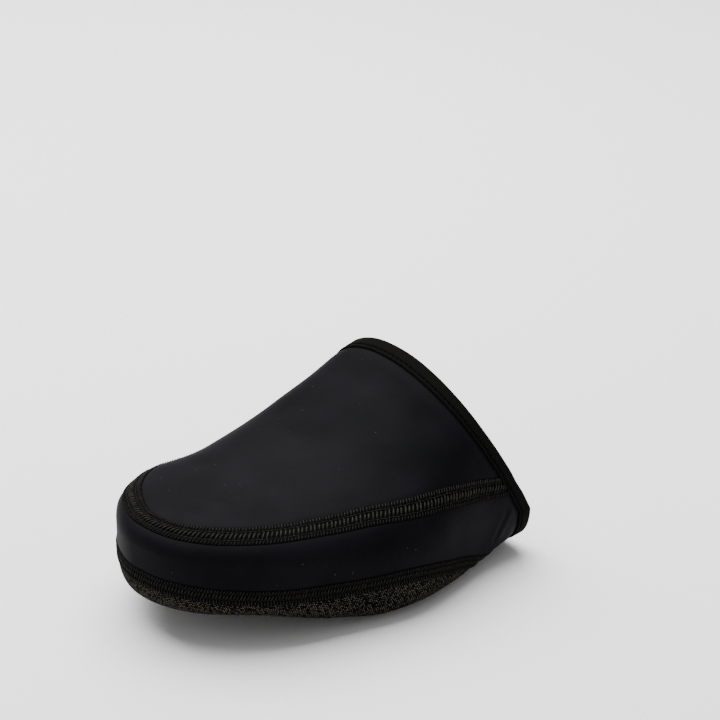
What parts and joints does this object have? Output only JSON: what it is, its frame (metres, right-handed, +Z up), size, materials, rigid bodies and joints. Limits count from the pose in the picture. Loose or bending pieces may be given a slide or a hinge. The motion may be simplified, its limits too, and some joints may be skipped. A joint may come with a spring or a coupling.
{
  "type": "cycling toe cover",
  "caption": "Stretch-fabric cover that slips over the front of a cycling shoe, with flatlock seams, a bound collar and an open cleat window in its knitted sole.",
  "frame": {"origin": "on the floor, under the middle of the cover's bounding box", "axes": "-Y towards the toe, +Y towards the heel, +X to the outer side of the left foot, +Z up"},
  "size_m": [0.1088, 0.1572, 0.0772],
  "materials": {
    "upper_fabric": "matte coated stretch softshell",
    "outsole_knit": "coarse abrasion-resistant knit with fine gold flecks",
    "upper_seam_thread": "matte looped thread",
    "outsole_seam_thread": "matte looped thread",
    "binding_tape": "matte ribbed elastic tape"
  },
  "bodies": {
    "root": {"upper": "upper_fabric", "outsole": "outsole_knit", "upper_seam": "upper_seam_thread", "outsole_seam": "outsole_seam_thread", "cuff_binding": "binding_tape"}
  },
  "joints": []
}
